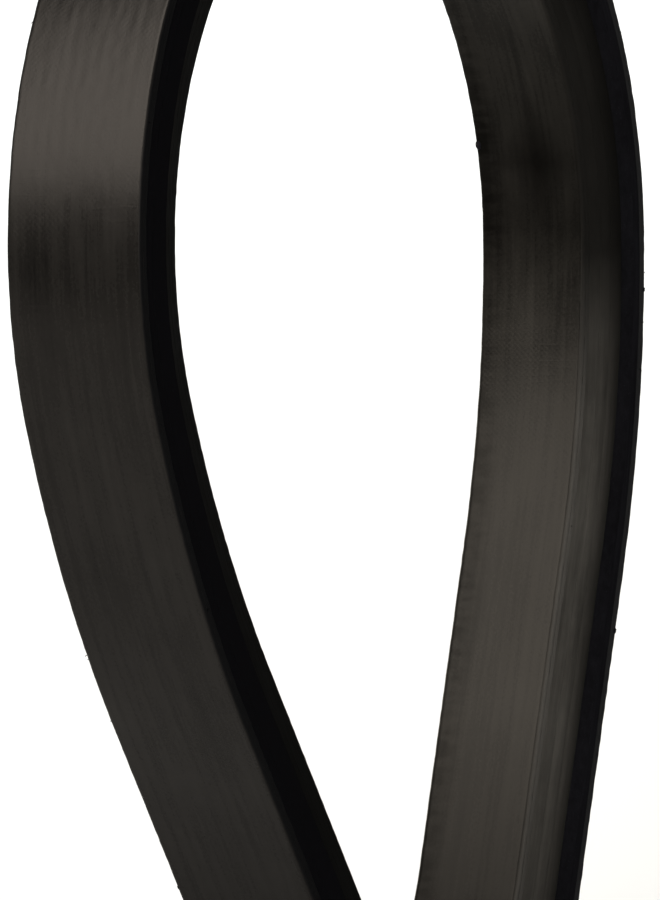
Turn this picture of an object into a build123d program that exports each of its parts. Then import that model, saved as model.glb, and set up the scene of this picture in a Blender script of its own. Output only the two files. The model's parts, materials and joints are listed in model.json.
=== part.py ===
from build123d import *
import math
import os

# Raw-edge V belt, one endless loop with parallel-sided shoulders and a tapered lower half.
# X and Z span the plane of the loop and Y runs across the belt, along the sheave axes.
# The origin is the axis of the large bend, at mid width. Lengths are in millimetres.

# Belt section
top_width = 17.0
flank_angle = 20.0

# Plies, from the back of the belt to its base
back_fabric_thickness = 0.65
tension_rubber_thickness = 1.4
cord_rubber_thickness = 1.4
compression_ply_thickness = 1.5
compression_ply_count = 3
base_fabric_thickness = 0.5

# Tension cords
cord_diameter = 1.25
cord_count = 10
cord_edge_cover = 0.45
cord_bond_gap = 0.02

# Edges
back_edge_radius = 0.35
base_edge_radius = 0.5

# Loop, measured to the base face that faces the sheaves
large_bend_radius = 45.5
small_bend_radius = 18.0
bend_centre_distance = 68.0
leg_bow_radius = 121.5
leg_bow_angle = 16.5


def compression_node(number):
    return f"compression_rubber_ply_{number}"


ply_thicknesses = {
    "back_fabric_outer_ply": back_fabric_thickness,
    "back_fabric_inner_ply": back_fabric_thickness,
    "tension_rubber": tension_rubber_thickness,
    "cord_rubber_upper": cord_rubber_thickness,
    "cord_rubber_lower": cord_rubber_thickness,
}
shoulder_depth = sum(ply_thicknesses.values())
for number in range(1, compression_ply_count + 1):
    ply_thicknesses[compression_node(number)] = compression_ply_thickness
ply_thicknesses["base_fabric_inner_ply"] = base_fabric_thickness
ply_thicknesses["base_fabric_outer_ply"] = base_fabric_thickness
belt_thickness = sum(ply_thicknesses.values())
cord_depth = 2 * back_fabric_thickness + tension_rubber_thickness + cord_rubber_thickness
cord_pitch = (top_width - 2 * cord_edge_cover - cord_diameter) / (cord_count - 1)


def half_width(depth):
    """Half the belt's width at a depth below its back."""
    taper = max(depth - shoulder_depth, 0) * math.tan(math.radians(flank_angle))
    return top_width / 2 - taper


def leg_angles():
    """Where the large bend ends and the straight run starts, from the top of the loop."""
    bow = math.radians(leg_bow_angle)
    to_small = leg_bow_radius - small_bend_radius
    to_large = (leg_bow_radius - large_bend_radius) * math.cos(bow)
    run_start = math.acos((to_large - to_small) / bend_centre_distance)
    return math.degrees(run_start) - leg_bow_angle, math.degrees(run_start)


large_bend_end, run_start = leg_angles()
bow_offset = leg_bow_radius - large_bend_radius
run_length = (bend_centre_distance * math.sin(math.radians(run_start))
              - bow_offset * math.sin(math.radians(leg_bow_angle)))


def radial(angle):
    """Unit vector away from the inside of the loop, at an angle clockwise from straight up."""
    turn = math.radians(angle)
    return Vector(math.sin(turn), 0, math.cos(turn))


def along(angle):
    """Unit vector along the belt, clockwise round the loop."""
    turn = math.radians(angle)
    return Vector(math.cos(turn), 0, -math.sin(turn))


def section_face(outline, centre, radius, angle):
    """Stands a section drawn as (height above the base face, across) on the loop at an angle."""
    plane = Plane(origin=centre + radial(angle) * radius, x_dir=radial(angle), z_dir=along(angle))
    return plane * outline


def bend(outline, centre, radius, start, end):
    """Turns a section clockwise about an axis across the belt."""
    face = section_face(outline, centre, radius, start)
    return revolve(face, Axis(centre, (0, 1, 0)), end - start)


def straight(outline, centre, radius, angle, length):
    face = section_face(outline, centre, radius, angle)
    return extrude(face, length, dir=along(angle))


def endless(outline):
    """Runs one section round the whole loop and joins the six stretches into one ring."""
    centre = Vector(0, 0, 0)
    small_centre = Vector(0, 0, -bend_centre_distance)
    right_bow = radial(large_bend_end) * -bow_offset
    left_bow = radial(-large_bend_end) * -bow_offset
    right_run = straight(outline, right_bow, leg_bow_radius, run_start, run_length)
    left_run = straight(outline, small_centre, small_bend_radius, -run_start, run_length)
    stretches = [
        bend(outline, centre, large_bend_radius, -large_bend_end, large_bend_end),
        bend(outline, right_bow, leg_bow_radius, large_bend_end, run_start),
        right_run,
        bend(outline, small_centre, small_bend_radius, run_start, 360 - run_start),
        left_run,
        bend(outline, left_bow, leg_bow_radius, -run_start, -large_bend_end),
    ]
    ring = stretches[0]
    for stretch in stretches[1:]:
        ring = ring + stretch
    return ring.solid()


def ply_outline(top_depth, bottom_depth):
    """A ply between two depths, with its own share of the tapered flanks."""
    depths = [top_depth, bottom_depth]
    corners = [(belt_thickness - depth, half_width(depth)) for depth in depths]
    corners += [(belt_thickness - depth, -half_width(depth)) for depth in reversed(depths)]
    return make_face(Polyline(*corners, close=True))


def corners_at(outline, height):
    return outline.vertices().filter_by(lambda corner: abs(corner.X - height) < 1e-6)


def grooved(outline):
    """Cuts the half-round beds of the tension cords out of a cord rubber section."""
    beds = [circle_at(across, cord_diameter / 2 + cord_bond_gap) for across in cord_places()]
    return outline - beds


def circle_at(across, radius):
    return Pos(belt_thickness - cord_depth, across) * Circle(radius)


def cord_places():
    middle = (cord_count - 1) / 2
    return [(number - middle) * cord_pitch for number in range(cord_count)]


def ply_sections():
    sections = {}
    depth = 0
    for node, thickness in ply_thicknesses.items():
        outline = ply_outline(depth, depth + thickness)
        if node == "back_fabric_outer_ply":
            outline = fillet(corners_at(outline, belt_thickness), back_edge_radius)
        if node.startswith("cord_rubber"):
            outline = grooved(outline)
        if node == "base_fabric_outer_ply":
            outline = fillet(corners_at(outline, 0), base_edge_radius)
        sections[node] = outline
        depth += thickness
    return sections


def cord_sections():
    return {f"tension_cord_{number:02d}": circle_at(across, cord_diameter / 2)
            for number, across in enumerate(cord_places(), start=1)}


os.makedirs("parts", exist_ok=True)
for node, outline in {**ply_sections(), **cord_sections()}.items():
    export_step(endless(outline), f"parts/{node}.step")
print(f"belt thickness {belt_thickness:.2f}, base width {2 * half_width(belt_thickness):.2f}")
print(f"large bend ends at {large_bend_end:.2f}, run starts at {run_start:.2f}, run {run_length:.2f}")
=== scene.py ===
import json
import math

import bpy
import numpy as np
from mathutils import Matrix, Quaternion, Vector


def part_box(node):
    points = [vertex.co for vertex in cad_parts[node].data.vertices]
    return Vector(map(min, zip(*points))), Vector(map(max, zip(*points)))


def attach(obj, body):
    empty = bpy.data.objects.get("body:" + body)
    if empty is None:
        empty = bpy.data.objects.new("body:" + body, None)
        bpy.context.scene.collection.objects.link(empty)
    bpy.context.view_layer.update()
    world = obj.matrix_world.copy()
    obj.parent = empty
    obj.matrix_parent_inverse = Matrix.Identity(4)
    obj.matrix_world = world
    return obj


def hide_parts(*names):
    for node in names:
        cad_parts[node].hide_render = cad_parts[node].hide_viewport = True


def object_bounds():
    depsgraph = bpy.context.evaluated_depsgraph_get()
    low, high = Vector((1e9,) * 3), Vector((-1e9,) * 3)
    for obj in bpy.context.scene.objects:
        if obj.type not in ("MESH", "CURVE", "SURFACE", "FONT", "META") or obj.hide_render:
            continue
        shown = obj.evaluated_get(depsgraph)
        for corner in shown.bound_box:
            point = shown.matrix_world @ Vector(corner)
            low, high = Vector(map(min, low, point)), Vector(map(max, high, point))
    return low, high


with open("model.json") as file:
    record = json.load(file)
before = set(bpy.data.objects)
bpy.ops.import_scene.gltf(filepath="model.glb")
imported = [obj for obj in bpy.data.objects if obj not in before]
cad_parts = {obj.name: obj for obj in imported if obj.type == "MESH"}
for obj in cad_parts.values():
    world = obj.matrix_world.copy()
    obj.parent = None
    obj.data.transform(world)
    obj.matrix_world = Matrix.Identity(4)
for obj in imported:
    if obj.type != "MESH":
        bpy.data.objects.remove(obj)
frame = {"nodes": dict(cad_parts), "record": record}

cadBox = [list(corner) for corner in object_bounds()]
record = frame["record"]
mm = 0.001

cameraSettings = {
    "azimuth": -59.5,        # degrees round the loop, 0 looks along the sheave axes
    "elevation": 9.9,
    "roll": 5.7,             # leans the foot of the loop to the right
    "distance": 2.4,
    "lens": 861.0,
    "aimAcross": -2.5 * mm,  # aim from the large bend's axis, along the picture's own axes
    "aimUp": -23.0 * mm,
}


def makeCamera(settings):
    turn, tilt = math.radians(settings["azimuth"]), math.radians(settings["elevation"])
    right = Vector((math.cos(turn), math.sin(turn), 0))
    back = Vector((math.sin(turn) * math.cos(tilt), -math.cos(turn) * math.cos(tilt), math.sin(tilt)))
    up = back.cross(right)
    data = bpy.data.cameras.new("camera")
    data.lens = settings["lens"]
    camera = bpy.data.objects.new("camera", data)
    bpy.context.scene.collection.objects.link(camera)
    camera.location = right * settings["aimAcross"] + up * settings["aimUp"] + back * settings["distance"]
    camera.rotation_mode = "QUATERNION"
    spin = Quaternion(back, -math.radians(settings["roll"]))
    camera.rotation_quaternion = spin @ (-back).to_track_quat("-Z", "Y")
    bpy.context.scene.camera = camera


makeCamera(cameraSettings)
print("camera placed")

# every ply follows one loop: a large bend, two bowed legs that run straight, and a small bend
mounts = {mount["name"]: mount for mount in record["mounts"]}
largeSeat, smallSeat = mounts["large_sheave_seat"], mounts["small_sheave_seat"]
loopShape = {
    "largeRadius": largeSeat["dims"]["r_mm"] * mm,
    "smallRadius": smallSeat["dims"]["r_mm"] * mm,
    "spacing": largeSeat["pos_m"][2] - smallSeat["pos_m"][2],
    "bowRadius": 121.5 * mm,  # the gentle curve between the large bend and each straight run
    "bowAngle": 16.5,
}
seatRadius = loopShape["largeRadius"]


def outward(angle):
    return np.stack([np.sin(angle), np.cos(angle)], axis=-1)


def onward(angle):
    return np.stack([np.cos(angle), -np.sin(angle)], axis=-1)


def plotLoop(shape, height):
    # the stretches clockwise from the top, each as long as it is at a height above the base
    bow, offset = math.radians(shape["bowAngle"]), shape["bowRadius"] - shape["largeRadius"]
    closing = offset * math.cos(bow) - (shape["bowRadius"] - shape["smallRadius"])
    runAngle = math.acos(closing / shape["spacing"])
    bendEnd = runAngle - bow
    runLength = shape["spacing"] * math.sin(runAngle) - offset * math.sin(bow)

    def bent(centre, radius, first, last):
        return {"place": centre, "radius": radius, "angles": (first, last),
                "length": (radius + height) * (last - first)}

    def straight(start, angle):
        return {"place": start, "radius": 0, "angles": (angle, angle), "length": runLength}

    turn = 2 * math.pi
    top, foot = np.zeros(2), np.array([0.0, -shape["spacing"]])
    rightBow, leftBow = -offset * outward(bendEnd), -offset * outward(-bendEnd)
    return [
        bent(top, shape["largeRadius"], 0, bendEnd),
        bent(rightBow, shape["bowRadius"], bendEnd, runAngle),
        straight(rightBow + shape["bowRadius"] * outward(runAngle), runAngle),
        bent(foot, shape["smallRadius"], runAngle, turn - runAngle),
        straight(foot + shape["smallRadius"] * outward(-runAngle), turn - runAngle),
        bent(leftBow, shape["bowRadius"], turn - runAngle, turn - bendEnd),
        bent(top, shape["largeRadius"], turn - bendEnd, turn),
    ]


def loopStations(shape, count, height):
    # evenly spaced places round the loop: base point, outward direction, distance, tightness of the bend
    stretches = plotLoop(shape, height)
    total = sum(stretch["length"] for stretch in stretches)
    distance = np.arange(count) * total / count
    base, out, tight = np.zeros((count, 2)), np.zeros((count, 2)), np.zeros(count)
    began = 0.0
    for stretch in stretches:
        length, radius = stretch["length"], stretch["radius"]
        first, last = stretch["angles"]
        here = (distance >= began) & (distance < began + length)
        share = (distance[here] - began) / length
        angle = first + share * (last - first)
        out[here] = outward(angle)
        base[here] = stretch["place"] + radius * outward(angle)
        if radius:
            tight[here] = 1 / radius
        else:
            base[here] += onward(angle) * (share * length)[:, None]
        began += length
    return {"base": base, "out": out, "distance": distance, "total": total, "tight": tight}


def eased(share):
    return share * share * (3 - 2 * share)


def unevenness(along, across, cells, seed):
    # smooth random values from -1 to 1 that close round the loop; both places run from 0 to 1
    rows, columns = cells
    grid = np.random.default_rng(seed).uniform(-1, 1, (rows, columns + 3))
    row, column = along * rows, np.clip(across, 0, 1) * columns
    lowRow, lowColumn = np.floor(row).astype(int), np.floor(column).astype(int)
    rowShare, columnShare = eased(row - lowRow), eased(column - lowColumn)
    here, after = lowRow % rows, (lowRow + 1) % rows
    near = grid[here, lowColumn] * (1 - rowShare) + grid[after, lowColumn] * rowShare
    far = grid[here, lowColumn + 1] * (1 - rowShare) + grid[after, lowColumn + 1] * rowShare
    return near * (1 - columnShare) + far * columnShare


def rough(along, across, part):
    # one kind of relief, given as its depth, its cells round the loop and across it, and its seed
    depth, cells, seed = part
    return depth * unevenness(along, across, cells, seed)


def smoothTightness(stations, reach):
    # eases the jumps of curvature where one stretch meets the next
    tight = stations["tight"]
    width = max(int(reach / (stations["total"] / len(tight))), 1)
    kernel = np.hanning(2 * width + 1)
    padded = np.concatenate([tight[-width:], tight, tight[:width]])
    return np.convolve(padded, kernel / kernel.sum(), mode="valid")


def roundCorner(corners, index, steps=4):
    height, across, radius = corners[index]
    here = np.array([height, across])
    before, after = np.array(corners[index - 1][:2]), np.array(corners[(index + 1) % 4][:2])
    towards = (before - here) / np.linalg.norm(before - here)
    away = (after - here) / np.linalg.norm(after - here)
    half = math.acos(np.clip(towards @ away, -1, 1)) / 2
    reach = radius / math.tan(half)
    centre = here + (towards + away) / np.linalg.norm(towards + away) * radius / math.sin(half)
    first, last = here + towards * reach - centre, here + away * reach - centre
    sweep = math.pi - 2 * half
    points = []
    for step in range(steps + 1):
        share = step / steps
        point = (math.sin((1 - share) * sweep) * first + math.sin(share * sweep) * last) / math.sin(sweep)
        points.append(tuple(centre + point))
    return points


def sideProfile(topHeight, lowHeight, topHalf, lowHalf, radii, counts):
    # one ply's closed section as (height, across), clockwise from the far top corner
    topRadius, lowRadius = radii
    topCount, sideCount, lowCount = counts
    corners = [(topHeight, topHalf, topRadius), (topHeight, -topHalf, topRadius),
               (lowHeight, -lowHalf, lowRadius), (lowHeight, lowHalf, lowRadius)]
    rounded = [roundCorner(corners, index) for index in range(4)]
    profile = []
    for index, steps in enumerate([topCount, sideCount, lowCount, sideCount]):
        profile += rounded[index]
        start, end = np.array(rounded[index][-1]), np.array(rounded[(index + 1) % 4][0])
        profile += [tuple(start + (end - start) * step / steps) for step in range(1, steps)]
    return np.array(profile)


def profileNormals(profile):
    edge = np.roll(profile, -1, axis=0) - profile
    edge /= np.linalg.norm(edge, axis=1)[:, None]
    normal = np.stack([-edge[:, 1], edge[:, 0]], axis=1)
    normal = normal + np.roll(normal, 1, axis=0)
    return normal / np.linalg.norm(normal, axis=1)[:, None]


def ringMesh(name, profile, stations, relief):
    # sweeps a section round the loop; relief moves each point along the section's own normal
    normal = profileNormals(profile)
    count, width = len(stations["distance"]), len(profile)
    lift = relief(stations, profile, normal)
    height = profile[:, 0] + lift * normal[:, 0]
    across = profile[:, 1] + lift * normal[:, 1]
    plane = stations["base"][:, None, :] + stations["out"][:, None, :] * height[:, :, None]
    points = np.stack([plane[:, :, 0], across, plane[:, :, 1]], axis=-1).reshape(-1, 3)
    station, point = np.meshgrid(np.arange(count), np.arange(width), indexing="ij")
    nextStation, nextPoint = (station + 1) % count, (point + 1) % width
    faces = np.stack([station * width + point, station * width + nextPoint,
                      nextStation * width + nextPoint, nextStation * width + point], -1)
    mesh = bpy.data.meshes.new(name)
    mesh.from_pydata(points.tolist(), [], faces.reshape(-1, 4).tolist())
    # one coordinate is the distance round the loop, the other the distance round the section
    sides = np.linalg.norm(np.roll(profile, -1, axis=0) - profile, axis=1)
    girth = np.concatenate([[0], np.cumsum(sides)])
    step = stations["total"] / count
    runStart, girthStart, girthEnd = station * step, girth[point], girth[point + 1]
    runEnd = runStart + step
    run = np.stack([runStart, girthStart, runStart, girthEnd, runEnd, girthEnd, runEnd, girthStart], -1)
    mesh.uv_layers.new(name="run").data.foreach_set("uv", run.reshape(-1))
    mesh.polygons.foreach_set("use_smooth", np.ones(len(mesh.polygons), dtype=bool))
    mesh.update()
    ring = bpy.data.objects.new(name, mesh)
    bpy.context.scene.collection.objects.link(ring)
    return ring


def startMaterial(name):
    material = bpy.data.materials.new(name)
    material.use_nodes = True
    tree = material.node_tree
    tree.nodes.clear()
    output = tree.nodes.new("ShaderNodeOutputMaterial")
    shader = tree.nodes.new("ShaderNodeBsdfPrincipled")
    tree.links.new(shader.outputs[0], output.inputs["Surface"])
    return material, tree, shader


def addNode(tree, kind, inputs=None, **settings):
    made = tree.nodes.new("ShaderNode" + kind)
    for key, value in settings.items():
        setattr(made, key, value)
    for key, value in (inputs or {}).items():
        if isinstance(value, bpy.types.NodeSocket):
            tree.links.new(value, made.inputs[key])
        else:
            made.inputs[key].default_value = value
    return made


def calc(tree, operation, first, second=0.0, third=0.0):
    inputs = {0: first, 1: second}
    if operation == "MULTIPLY_ADD":
        inputs[2] = third
    return addNode(tree, "Math", inputs, operation=operation).outputs[0]


def times(tree, first, *others):
    for other in others:
        first = calc(tree, "MULTIPLY", first, other)
    return first


def weighed(tree, parts):
    # adds up pairs of a value and its weight
    total = 0.0
    for value, weight in parts:
        total = calc(tree, "MULTIPLY_ADD", value, weight, total)
    return total


def spread(tree, value, source, target):
    inputs = {"Value": value, "From Min": source[0], "From Max": source[1],
              "To Min": target[0], "To Max": target[1]}
    return addNode(tree, "MapRange", inputs).outputs["Result"]


def blendColours(tree, share, dark, light):
    # each colour is three numbers or another node's output
    ends = [end if isinstance(end, bpy.types.NodeSocket) else (*end, 1) for end in (dark, light)]
    return addNode(tree, "Mix", {0: share, 6: ends[0], 7: ends[1]}, data_type="RGBA").outputs[2]


def places(tree, source, scale):
    # coordinates for a grain: round the belt's own run, or in the belt's own space
    if source == "run":
        start = addNode(tree, "UVMap", uv_map="run").outputs["UV"]
    else:
        start = addNode(tree, "TexCoord").outputs["Object"]
    return addNode(tree, "Mapping", {"Vector": start, "Scale": scale}).outputs["Vector"]


def grain(tree, source, kind):
    # a kind is its cells a metre each way, its levels of detail and how strong the finest are
    scale, detail, strength = kind
    inputs = {"Vector": places(tree, source, scale), "Scale": 1.0, "Detail": detail, "Roughness": strength}
    return addNode(tree, "TexNoise", inputs).outputs["Fac"]


def finishShader(tree, shader, look, colour, roughness, height, gloss=None):
    tree.links.new(colour, shader.inputs["Base Color"])
    tree.links.new(roughness, shader.inputs["Roughness"])
    if gloss is None:
        shader.inputs["Specular IOR Level"].default_value = look["specular"]
    else:
        tree.links.new(gloss, shader.inputs["Specular IOR Level"])
    shader.inputs["Specular Tint"].default_value = (*look.get("tint", (1, 1, 1)), 1)
    inputs = {"Height": height, "Strength": look["bump"], "Distance": look["depth"]}
    bump = addNode(tree, "Bump", inputs)
    tree.links.new(bump.outputs["Normal"], shader.inputs["Normal"])


def onLoop(tree):
    return addNode(tree, "SeparateXYZ", {"Vector": addNode(tree, "TexCoord").outputs["Object"]}).outputs


def paintedLegShade(tree, zone):
    # painted shade on the ground faces and cut sides: full tone low on the leg at +X, darker on the other
    # leg, higher up and close under the shoulder
    spot = onLoop(tree)
    leg = spread(tree, spot["X"], zone["across"], (zone["least"], 1))
    low = spread(tree, spot["Z"], zone["down"], (zone["upper"], 1))
    below = spread(tree, calc(tree, "ABSOLUTE", spot["Y"]), zone["shoulder"], (1, zone["shoulderShare"]))
    return times(tree, leg, low, below)


clothGrain = {
    # cells a metre along the run and across it, levels of detail, strength of the finest
    "slackAlong": ((500, 160, 1), 2.0, 0.55), "slackAcross": ((160, 500, 1), 2.0, 0.55),
    "filling": ((90, 60, 1), 3.0, 0.55), "slubs": ((1500, 90, 1), 3.0, 0.6),
    "streaks": ((40, 1100, 1), 4.0, 0.6), "patches": ((70, 110, 1), 4.0, 0.6),
    "speckle": ((2600, 2600, 1), 2.0, 0.7), "ticks": ((900, 250, 1), 3.0, 0.6),
}
clothTone = {
    "streaks": 0.40, "patches": 0.40, "speckle": 0.20, "weave": 0.06,  # shares of the tone
    "range": (0.36, 0.64),        # the tones that come out darkest and lightest
    "filling": (0.35, 0.65), "slubs": (0.58, 0.72),   # grain at which each begins and is full
    "gloss": (0.92, 1.08),        # the gloss of the darkest and lightest tones, as a share
    "sideTurn": (0.20, 0.85),     # how far a corner has turned where the face ends and the cut side begins
    "sideTone": (0.7, 1.0), "sideGloss": 0.01,
    "sideRoughness": 0.4,         # how much rougher a cut side is than the face
}


def sideways(tree):
    # 0 on the back and the base, 1 on the flanks and the shoulders
    facing = addNode(tree, "SeparateXYZ", {"Vector": addNode(tree, "TexCoord").outputs["Normal"]})
    return spread(tree, calc(tree, "ABSOLUTE", facing.outputs["Y"]), clothTone["sideTurn"], (0, 1))


def slackWeave(tree, look):
    # crossings of uneven threads, which show only where the rubber that fills the cloth is thin
    threads = places(tree, "run", (look["threads"], look["threads"], 1))
    parts = addNode(tree, "SeparateXYZ", {"Vector": threads}).outputs
    waves = []
    for axis, kind in (("X", "slackAlong"), ("Y", "slackAcross")):
        slack = times(tree, grain(tree, "run", clothGrain[kind]), look["slack"])
        waves.append(calc(tree, "SINE", calc(tree, "MULTIPLY_ADD", parts[axis], math.pi, slack)))
    filling = grain(tree, "run", clothGrain["filling"])
    return times(tree, *waves, spread(tree, filling, clothTone["filling"], look["showing"]))


def legShadeAndDull(tree, zone, patches):
    # painted shade, with less gloss, over the upper part of one leg where the large bend begins; a darker
    # spot of painted shade in the middle of it; darker and less glossy towards the far edge
    spot = onLoop(tree)
    leg = spread(tree, spot["X"], zone["leg"], (0, 1))
    rise = spread(tree, spot["Z"], zone["from"], (0, 1))
    fall = spread(tree, spot["Z"], zone["to"], (1, 0))
    aside = calc(tree, "ABSOLUTE", calc(tree, "SUBTRACT", spot["Y"], zone["shadeSpot"][0]))
    offset = calc(tree, "ABSOLUTE", calc(tree, "SUBTRACT", spot["Z"], zone["shadeSpot"][1]))
    reach = weighed(tree, [(offset, 1.0), (aside, zone["shadeSpotSquash"]), (patches, zone["shadeSpotRagged"])])
    shadeSpot = spread(tree, reach, zone["shadeSpotReach"], (zone["shadeSpotDepth"], 0))
    ticks = spread(tree, grain(tree, "run", clothGrain["ticks"]), zone["ticks"], (zone["tickLeast"], 1))
    edge = spread(tree, spot["Y"], zone["edge"], (0, zone["edgeDull"]))
    dull = weighed(tree, [(times(tree, rise, fall), zone["dull"]), (shadeSpot, 1.0), (edge, ticks)])
    return calc(tree, "SUBTRACT", 1.0, times(tree, leg, dull))


def filledFabric(name, look):
    # woven cloth whose gaps are filled with rubber; its cut sides look like the rubber beside it
    material, tree, shader = startMaterial(name)
    weave = slackWeave(tree, look)
    streaks, patches, speckle, slubs = [grain(tree, "run", clothGrain[kind])
                                        for kind in ("streaks", "patches", "speckle", "slubs")]
    slubs = spread(tree, slubs, clothTone["slubs"], (0, 1))
    height = weighed(tree, [(weave, 1.0), (speckle, look["speckleBump"]),
                            (streaks, look["streakBump"]), (slubs, look["slubBump"])])
    tone = weighed(tree, [(streaks, clothTone["streaks"]), (patches, clothTone["patches"]),
                          (speckle, clothTone["speckle"]), (weave, clothTone["weave"])])
    kept = spread(tree, onLoop(tree)["Z"], look["fade"], (1, look["faded"]))
    # painted shade and lower gloss on the upper part of one leg's face
    if "legShadeAndDull" in look:
        kept = times(tree, kept, legShadeAndDull(tree, look["legShadeAndDull"], patches))
    share = times(tree, spread(tree, tone, clothTone["range"], (0, 1)), kept)
    colour = blendColours(tree, share, look["dark"], look["light"])
    side = sideways(tree)
    # the cut sides carry painted shade, darker on one leg and higher up
    sideShare = times(tree, paintedLegShade(tree, look["legShadeZone"]),
                      spread(tree, tone, clothTone["range"], clothTone["sideTone"]))
    sideColour = blendColours(tree, sideShare, look["sideDark"], look["sideLight"])
    roughness = spread(tree, tone, clothTone["range"], look["roughness"])
    roughness = calc(tree, "MULTIPLY_ADD", side, clothTone["sideRoughness"], roughness)
    gloss = times(tree, spread(tree, side, (0, 1), (look["specular"], clothTone["sideGloss"])),
                  spread(tree, tone, clothTone["range"], clothTone["gloss"]), kept)
    finishShader(tree, shader, look, blendColours(tree, side, colour, sideColour), roughness, height, gloss)
    return material


rubberGrain = {
    # scratches follow the run where the rubber is cut along it, and go every way where it isn't
    "scratches": {"run": ((90, 2000, 2000), 4.0, 0.65), "space": ((900, 900, 900), 4.0, 0.65)},
    "patches": ((70, 160, 70), 4.0, 0.6),
    "speckle": (3.0, 0.75),       # levels of detail and strength only: the look has the cells
}
rubberTone = {"range": (0.30, 0.70), "flecks": (0.60, 0.72), "roughRange": (0.35, 0.65)}


def cutRubber(name, look):
    # rubber cut or ground along the run, with short fibres showing as flecks
    material, tree, shader = startMaterial(name)
    source = look["source"]
    scratches = grain(tree, source, rubberGrain["scratches"][source])
    speckle = grain(tree, source, ((look["fleck"],) * 3, *rubberGrain["speckle"]))
    patches = grain(tree, source, rubberGrain["patches"])
    flecks = spread(tree, speckle, rubberTone["flecks"], (0, 1))
    tone = weighed(tree, [(scratches, look["scratchTone"]), (patches, 1 - look["scratchTone"])])
    share = spread(tree, tone, rubberTone["range"], (look["least"], 1 - look["fleckTone"]))
    share = calc(tree, "MULTIPLY_ADD", flecks, look["fleckTone"], share)
    # painted shade, darker on the leg at -X and higher up
    share = times(tree, share, paintedLegShade(tree, look["legShadeZone"]))
    colour = blendColours(tree, share, look["dark"], look["light"])
    roughness = spread(tree, tone, rubberTone["roughRange"], look["roughness"])
    height = calc(tree, "MULTIPLY_ADD", speckle, look["fleckBump"], scratches)
    finishShader(tree, shader, look, colour, roughness, height)
    return material


def twistedYarn(name, look):
    material, tree, shader = startMaterial(name)
    strands = grain(tree, "space", look["strands"])
    colour = blendColours(tree, strands, look["dark"], look["light"])
    roughness = spread(tree, strands, look["strandRange"], look["roughness"])
    finishShader(tree, shader, look, colour, roughness, strands)
    return material


legWay = (-10 * mm, 25 * mm)      # from one leg of the loop to the other
# painted shade on the shoulders, cord ends, burrs and the back's cut sides: darker on the leg at -X
shoulderShadeZone = {
    "across": legWay, "least": 0.2, "down": (0, -18 * mm), "upper": 1.0,
    "shoulder": (9 * mm, 10 * mm), "shoulderShare": 1.0,
}
# painted shade on the flanks and the base's cut sides: darker on the leg at -X, higher up towards the large
# bend, and close under the shoulder
flankShadeZone = {
    "across": legWay, "least": 0.02, "down": (-10 * mm, -28 * mm), "upper": 0.13,
    "shoulder": (7.55 * mm, 8.45 * mm), "shoulderShare": 0.22,   # painted shade: darker close under the shoulder
}
fabricLook = {
    "threads": 2900,              # a metre, both ways
    "showing": (0.0, 0.10),       # how far the weave stands out of its filling
    "slack": 5.0,
    "roughness": (0.24, 0.32), "bump": 0.35, "depth": 0.05 * mm,
    "speckleBump": 0.35, "streakBump": 0.22, "slubBump": 0.12,
}
backLook = {
    **fabricLook,
    "dark": (0.0040, 0.0037, 0.0034), "light": (0.0105, 0.0097, 0.0087),
    "fade": (-50 * mm, -76 * mm), "faded": 0.5,   # duller towards the foot of the loop
    "sideDark": (0.0030, 0.0031, 0.0035), "sideLight": (0.026, 0.026, 0.027), "legShadeZone": shoulderShadeZone,
    "specular": 0.117, "tint": (1.0, 0.94, 0.89),
}
baseLook = {
    **fabricLook,
    "dark": (0.0028, 0.0026, 0.0023), "light": (0.017, 0.0157, 0.0135),
    "fade": (-58 * mm, -76 * mm), "faded": 0.6,
    "sideDark": (0.004, 0.0038, 0.0035), "sideLight": (0.098, 0.0925, 0.084), "legShadeZone": flankShadeZone,
    "specular": 0.083, "tint": (1.0, 0.95, 0.87),
    # painted shade and lower gloss on the upper part of the leg at +X
    "legShadeAndDull": {
        "leg": (0, 10 * mm), "from": (-14 * mm, -7 * mm), "to": (4 * mm, 20 * mm), "dull": 0.50,
        "shadeSpot": (-1.2 * mm, 0.5 * mm), "shadeSpotDepth": 0.45,   # its place across and up
        "shadeSpotReach": (4 * mm, 11 * mm), "shadeSpotSquash": 1.5, "shadeSpotRagged": 5 * mm,
        "edge": (2.8 * mm, 5.2 * mm), "edgeDull": 0.4, "ticks": (0.40, 0.60), "tickLeast": 0.45,
    },
}
shoulderLook = {
    "source": "run", "fleck": 2400, "fleckTone": 0.4, "scratchTone": 0.5, "least": 0.0,
    "dark": (0.0024, 0.0023, 0.0030), "light": (0.020, 0.0196, 0.0240), "legShadeZone": shoulderShadeZone,
    "roughness": (0.7, 0.85), "specular": 0.01, "bump": 0.4, "depth": 0.05 * mm, "fleckBump": 0.6,
}
flankLook = {
    "source": "run", "fleck": 2200, "fleckTone": 0.10, "scratchTone": 0.35, "least": 0.35,
    "dark": (0.004, 0.0038, 0.0035), "light": (0.118, 0.111, 0.099), "legShadeZone": flankShadeZone,
    "roughness": (0.7, 0.85), "specular": 0.01, "bump": 0.3, "depth": 0.05 * mm, "fleckBump": 0.5,
}
endOnLook = {**shoulderLook, "source": "space"}
yarnLook = {
    "strands": ((1500, 1500, 1500), 2.0, 0.5), "strandRange": (0.3, 0.7),
    "dark": (0.30, 0.27, 0.22), "light": (0.62, 0.57, 0.48), "roughness": (0.5, 0.7), "specular": 0.3,
    "bump": 0.5, "depth": 0.05 * mm,
}
backFabric = filledFabric("back fabric", backLook)
baseFabric = filledFabric("base fabric", baseLook)
shoulderRubber = cutRubber("shoulder rubber", shoulderLook)
cordRubber = cutRubber("cord rubber", endOnLook)
burrRubber = cutRubber("burr rubber", endOnLook)
flankRubber = cutRubber("flank rubber", flankLook)
cordYarn = twistedYarn("cord yarn", yarnLook)
print("materials made")

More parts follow.
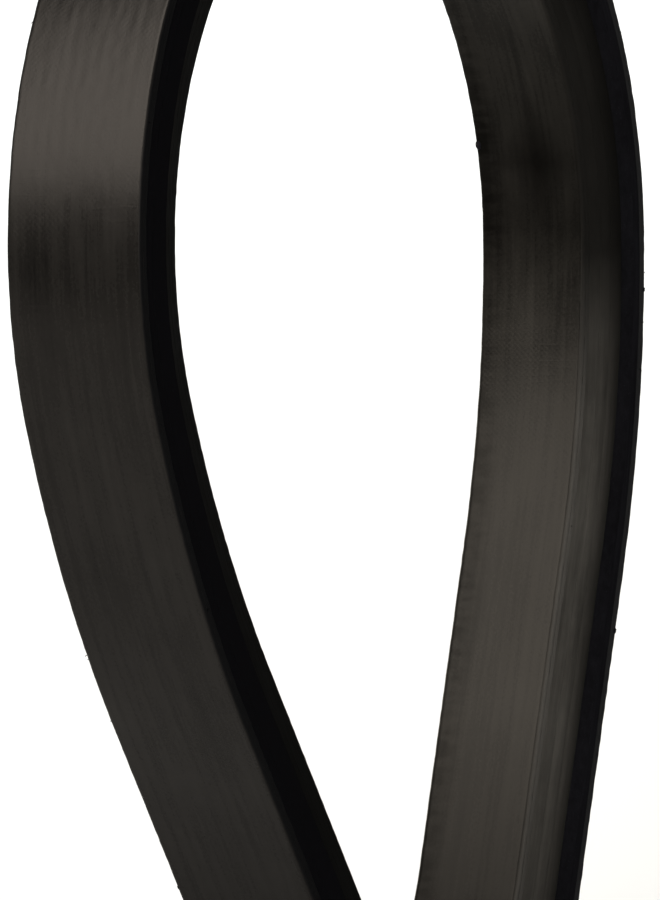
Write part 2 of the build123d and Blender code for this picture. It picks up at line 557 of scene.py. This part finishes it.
plyOrder = ["back_fabric_outer_ply", "back_fabric_inner_ply", "tension_rubber", "cord_rubber_upper",
            "cord_rubber_lower", "compression_rubber_ply_1", "compression_rubber_ply_2",
            "compression_rubber_ply_3", "base_fabric_inner_ply", "base_fabric_outer_ply"]
tops = {node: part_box(node)[1].x - seatRadius for node in plyOrder}
halves = {node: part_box(node)[1].y for node in plyOrder}
flankSlope = ((halves["compression_rubber_ply_1"] - halves["compression_rubber_ply_3"])
              / (tops["compression_rubber_ply_1"] - tops["compression_rubber_ply_3"]))
shoulderHeight = tops["compression_rubber_ply_1"]
beltHeight = tops["back_fabric_outer_ply"]
pitchHeight = tops["cord_rubber_lower"]
shoulderHalf = halves["tension_rubber"]


def halfWidth(height):
    return shoulderHalf - max(shoulderHeight - height, 0) * flankSlope


def plySection(node, radii, counts):
    index = plyOrder.index(node)
    low = tops[plyOrder[index + 1]] if index + 1 < len(plyOrder) else 0.0
    return sideProfile(tops[node], low, halfWidth(tops[node]), halfWidth(low), radii, counts)


def sharesOf(stations, profile):
    # how far round the loop and how far across the belt each point is, from 0 to 1
    along = (stations["distance"] / stations["total"])[:, None]
    across = (profile[:, 1] / (2 * shoulderHalf) + 0.5)[None, :]
    return along, across


backRelief = {
    # depth, cells round the loop and across it, seed
    "sway": (0.020 * mm, (38, 4), 11),
    "dimple": (0.008 * mm, (260, 24), 12),
    "ragged": (0.03 * mm, (420, 2), 13),
    "cordPitch": 1.65 * mm, "cordPrint": 0.005 * mm,   # the cords show faintly through the back
    "cordWear": (0.4, (24, 3), 5),
}


def reliefOfBack(stations, profile, normal):
    along, across = sharesOf(stations, profile)
    facing = np.clip(normal[:, 0], 0, 1)[None, :]
    edgeward = np.abs(normal[:, 1])[None, :]
    prints = np.cos(2 * math.pi * (profile[:, 1][None, :] / backRelief["cordPitch"] + 0.5))
    worn = 1 - backRelief["cordWear"][0] + rough(along, across, backRelief["cordWear"])
    lift = (rough(along, across, backRelief["sway"]) + rough(along, across, backRelief["dimple"])
            - backRelief["cordPrint"] * prints * worn)
    return lift * facing + rough(along, across, backRelief["ragged"]) * edgeward


baseRelief = {
    # depth, cells round the loop and across it, seed
    "wrinkle": (0.02 * mm, (230, 3), 21),    # the base puckers across where it is squeezed in a bend
    "sway": (0.03 * mm, (40, 4), 22),
    "ragged": (0.03 * mm, (420, 2), 23),
    "easing": 10 * mm,
}


def reliefOfBase(stations, profile, normal):
    along, across = sharesOf(stations, profile)
    facing = np.clip(-normal[:, 0], 0, 1)[None, :]
    edgeward = np.abs(normal[:, 1])[None, :]
    squeeze = (smoothTightness(stations, baseRelief["easing"]) * loopShape["smallRadius"])[:, None]
    lift = rough(along, across, baseRelief["wrinkle"]) * squeeze + rough(along, across, baseRelief["sway"])
    return lift * facing + rough(along, across, baseRelief["ragged"]) * edgeward


def reliefOfFlank(depth, cells, seed):
    # the two sides of the belt are uneven in their own ways
    farSeed = seed + 100

    def relief(stations, profile, normal):
        along = (stations["distance"] / stations["total"])[:, None]
        span = profile[:, 0].max() - profile[:, 0].min()
        down = ((profile[:, 0] - profile[:, 0].min()) / span)[None, :]
        oneSide = (profile[:, 1] > 0)[None, :]
        uneven = np.where(oneSide, unevenness(along, down, cells, seed),
                          unevenness(along, down, cells, farSeed))
        return depth * uneven * np.abs(normal[:, 1])[None, :]
    return relief


flankGrind = (0.02 * mm, (320, 5))
cutCloth = (0.03 * mm, (500, 2))
loopSteps = {"plies": 1150, "burrs": 4000}
stations = loopStations(loopShape, loopSteps["plies"], pitchHeight)
plyPlan = [
    # node, corner radii in mm at the top and bottom, steps on the top, side and bottom, relief, material
    ("back_fabric_outer_ply", (0.32, 0.03), (56, 3, 2), reliefOfBack, backFabric),
    ("back_fabric_inner_ply", (0.05, 0.05), (2, 3, 2), reliefOfFlank(*cutCloth, 31), backFabric),
    ("tension_rubber", (0.05, 0.05), (2, 5, 2), reliefOfFlank(0.02 * mm, (300, 3), 32), shoulderRubber),
    ("compression_rubber_ply_1", (0.05, 0.04), (2, 8, 2), reliefOfFlank(*flankGrind, 33), flankRubber),
    ("compression_rubber_ply_2", (0.04, 0.04), (2, 8, 2), reliefOfFlank(*flankGrind, 34), flankRubber),
    ("compression_rubber_ply_3", (0.04, 0.04), (2, 8, 2), reliefOfFlank(*flankGrind, 35), flankRubber),
    ("base_fabric_inner_ply", (0.04, 0.04), (2, 2, 2), reliefOfFlank(*cutCloth, 36), baseFabric),
    ("base_fabric_outer_ply", (0.03, 0.48), (2, 2, 48), reliefOfBase, baseFabric),
]
for node, radii, counts, relief, material in plyPlan:
    profile = plySection(node, [radius * mm for radius in radii], counts)
    ply = ringMesh(node + "_detail", profile, stations, relief)
    ply.data.materials.append(material)
    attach(ply, "root")
    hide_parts(node)
print("plies made")

fineStations = loopStations(loopShape, loopSteps["burrs"], pitchHeight)


def placeOn(share, height, across):
    # a point on the belt, with the directions along and out of the loop there
    index = int(share * loopSteps["burrs"])
    base, out = fineStations["base"][index], fineStations["out"][index]
    onTurn = Vector((out[1], 0, -out[0]))
    outTurn = Vector((out[0], 0, out[1]))
    return Vector((base[0], across, base[1])) + outTurn * height, onTurn, outTurn


burrs = {
    # share of the way round the loop, height above the base, across, half length along the run,
    # half width, slot
    "places": [
        (0.2035, 0.2 * mm, 6.22 * mm, 0.62 * mm, 0.42 * mm, "base_fabric"),
        (0.2498, 10.65 * mm, -8.30 * mm, 0.36 * mm, 0.34 * mm, "back_fabric"),
        (0.3483, 10.65 * mm, -8.30 * mm, 0.45 * mm, 0.34 * mm, "back_fabric"),
        (0.1558, 0.2 * mm, 6.30 * mm, 0.40 * mm, 0.24 * mm, "base_fabric"),
        (0.6120, 10.7 * mm, 8.30 * mm, 0.45 * mm, 0.28 * mm, "back_fabric"),
        (0.9045, 10.7 * mm, 8.32 * mm, 0.60 * mm, 0.26 * mm, "back_fabric"),
    ],
    "roughness": 0.35, "rings": 10, "sides": 14, "seed": 51,
}


def burrMesh(settings, place, seed):
    # a rough bead that lies along the cut edge, closed by a point at each end
    share, height, across, length, width, slot = place
    centre, onTurn, outTurn = placeOn(share, height, across)
    chance = np.random.default_rng(seed)
    rings, sides = settings["rings"], settings["sides"]
    points, faces = [centre + onTurn * length, centre - onTurn * length], []
    for ring in range(1, rings):
        turn = math.pi * ring / rings
        for side in range(sides):
            spin = 2 * math.pi * side / sides
            uneven = 1 + settings["roughness"] * chance.uniform(-0.5, 0.5)
            around = math.sin(turn) * width * uneven
            rim = outTurn * (around * math.cos(spin)) + Vector((0, around * math.sin(spin), 0))
            points.append(centre + onTurn * (math.cos(turn) * length) + rim)
    last = 2 + (rings - 2) * sides
    for side in range(sides):
        after = (side + 1) % sides
        faces += [(0, 2 + side, 2 + after), (1, last + after, last + side)]
        for first in range(2, last, sides):
            faces.append((first + side, first + sides + side, first + sides + after, first + after))
    return points, faces, slot


strandLook = {
    "count": 32, "radius": 0.045 * mm, "length": (0.3 * mm, 0.8 * mm), "sides": 6, "steps": 6,
    "onBase": 0.35,               # share of the strands that come out of the base fabric
    "depth": (0.15, 0.8),         # mm below the face
    "lean": (0.9, 0.5), "curl": (0.8, 0.8),       # most along and out of the loop
    "rooted": 0.1 * mm, "droop": 0.45, "swing": 0.5, "taper": 0.5,
    "seed": 61,
}


def strandPath(settings, chance):
    low = chance.random() < settings["onBase"]
    side = 1 if chance.random() < 0.5 else -1
    depth = chance.uniform(*settings["depth"]) * mm
    height = depth if low else beltHeight - depth
    start, onTurn, outTurn = placeOn(chance.random(), height, side * halfWidth(height))
    length = chance.uniform(*settings["length"])
    lean, curl = [onTurn * chance.uniform(-most[0], most[0]) + outTurn * chance.uniform(-most[1], most[1])
                  for most in (settings["lean"], settings["curl"])]
    aside = Vector((0, side, 0))
    path = []
    for step in range(settings["steps"] + 1):
        share = step / settings["steps"]
        reach = (aside * (share - settings["droop"] * share * share)
                 + (lean * share + curl * share * share) * settings["swing"])
        path.append(start - aside * settings["rooted"] + reach * length)
    return path


def strandMesh(settings, chance):
    # a short thread end that springs out of the cut edge of a fabric ply
    path = strandPath(settings, chance)
    sides, steps = settings["sides"], settings["steps"]
    points, faces = [], []
    for step, spot in enumerate(path):
        ahead = (path[min(step + 1, steps)] - path[max(step - 1, 0)]).normalized()
        first = ahead.orthogonal().normalized()
        second = ahead.cross(first)
        radius = settings["radius"] * (1 - settings["taper"] * (step / steps) ** 3)
        for spoke in range(sides):
            turn = 2 * math.pi * spoke / sides
            points.append(spot + (first * math.cos(turn) + second * math.sin(turn)) * radius)
    for step in range(steps):
        for index in range(sides):
            after = (index + 1) % sides
            faces.append((step * sides + index, step * sides + after,
                          (step + 1) * sides + after, (step + 1) * sides + index))
    faces.append(tuple(range(sides)))
    faces.append(tuple(steps * sides + index for index in reversed(range(sides))))
    return points, faces


def joinedPiece(name, shapes, material):
    points, faces = [], []
    for morePoints, moreFaces in shapes:
        faces += [tuple(corner + len(points) for corner in face) for face in moreFaces]
        points += [tuple(point) for point in morePoints]
    mesh = bpy.data.meshes.new(name)
    mesh.from_pydata(points, [], faces)
    mesh.polygons.foreach_set("use_smooth", np.ones(len(mesh.polygons), dtype=bool))
    mesh.materials.append(material)
    piece = bpy.data.objects.new(name, mesh)
    bpy.context.scene.collection.objects.link(piece)
    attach(piece, "root")


beads = [burrMesh(burrs, place, burrs["seed"] + index) for index, place in enumerate(burrs["places"])]
for slot in ("back_fabric", "base_fabric"):
    shapes = [(points, faces) for points, faces, beadSlot in beads if beadSlot == slot]
    joinedPiece(slot + "_burrs", shapes, burrRubber)
strandChance = np.random.default_rng(strandLook["seed"])
strands = [strandMesh(strandLook, strandChance) for number in range(strandLook["count"])]
joinedPiece("loose_threads", strands, burrRubber)
print("burrs and threads made")

carriedFinishes = {"cord_rubber": cordRubber, "tension_cord": cordYarn}
for name, carried in frame["nodes"].items():
    for start, finish in carriedFinishes.items():
        if name.startswith(start):
            carried.data.materials.clear()
            carried.data.materials.append(finish)
print("carried nodes finished")

studio = {
    "floorRadius": 14.0, "floorSides": 96,
    "floorColour": (0.80, 0.80, 0.79), "floorRoughness": 0.75, "floorSpecular": 0.2,
    "mottle": ((3, 3, 3), 4.0, 0.5), "mottleDark": 0.985,
    "sky": (0.80, 0.82, 0.85), "skyStrength": 0.05,
}
floorHeight = cadBox[0][2]


def makeFloor(settings):
    rim = [(math.cos(turn) * settings["floorRadius"], math.sin(turn) * settings["floorRadius"], floorHeight)
           for turn in np.linspace(0, 2 * math.pi, settings["floorSides"], endpoint=False)]
    mesh = bpy.data.meshes.new("floor")
    mesh.from_pydata(rim, [], [list(range(len(rim)))])
    floor = bpy.data.objects.new("floor", mesh)
    bpy.context.scene.collection.objects.link(floor)
    material, tree, shader = startMaterial("floor paint")
    pale = settings["floorColour"]
    dark = tuple(part * settings["mottleDark"] for part in pale)
    colour = blendColours(tree, grain(tree, "space", settings["mottle"]), dark, pale)
    tree.links.new(colour, shader.inputs["Base Color"])
    shader.inputs["Roughness"].default_value = settings["floorRoughness"]
    shader.inputs["Specular IOR Level"].default_value = settings["floorSpecular"]
    mesh.materials.append(material)


def makeSky(settings):
    world = bpy.data.worlds.new("sky")
    world.use_nodes = True
    ground = world.node_tree.nodes["Background"]
    ground.inputs["Color"].default_value = (*settings["sky"], 1)
    ground.inputs["Strength"].default_value = settings["skyStrength"]
    bpy.context.scene.world = world


def areaLight(name, place, aim, size, power, colour):
    data = bpy.data.lights.new(name, "AREA")
    data.shape = "RECTANGLE"
    data.size, data.size_y = size
    data.energy = power
    data.color = colour
    light = bpy.data.objects.new(name, data)
    bpy.context.scene.collection.objects.link(light)
    light.location = place
    light.rotation_mode = "QUATERNION"
    light.rotation_quaternion = (Vector(aim) - Vector(place)).to_track_quat("-Z", "Y")


lamps = [
    # name, place, aim, size, watts, colour
    ("side panel", (-1.22, 0.72, 1.54), (0, 0, 0), (0.95, 2.2), 59, (1.0, 0.935, 0.86)),
    ("flank lamp", (-2.2, -0.65, 0.9), (0, 0, 0), (0.9, 0.9), 22, (1.0, 0.98, 0.95)),
    ("floor lamp", (1.3, 0.75, 0.9), (0.6, 0.35, 0), (0.8, 0.8), 23, (0.92, 0.97, 1.0)),
]
makeFloor(studio)
makeSky(studio)
for lamp in lamps:
    areaLight(*lamp)
bpy.context.scene.view_settings.view_transform = "Standard"
print("floor and light made")
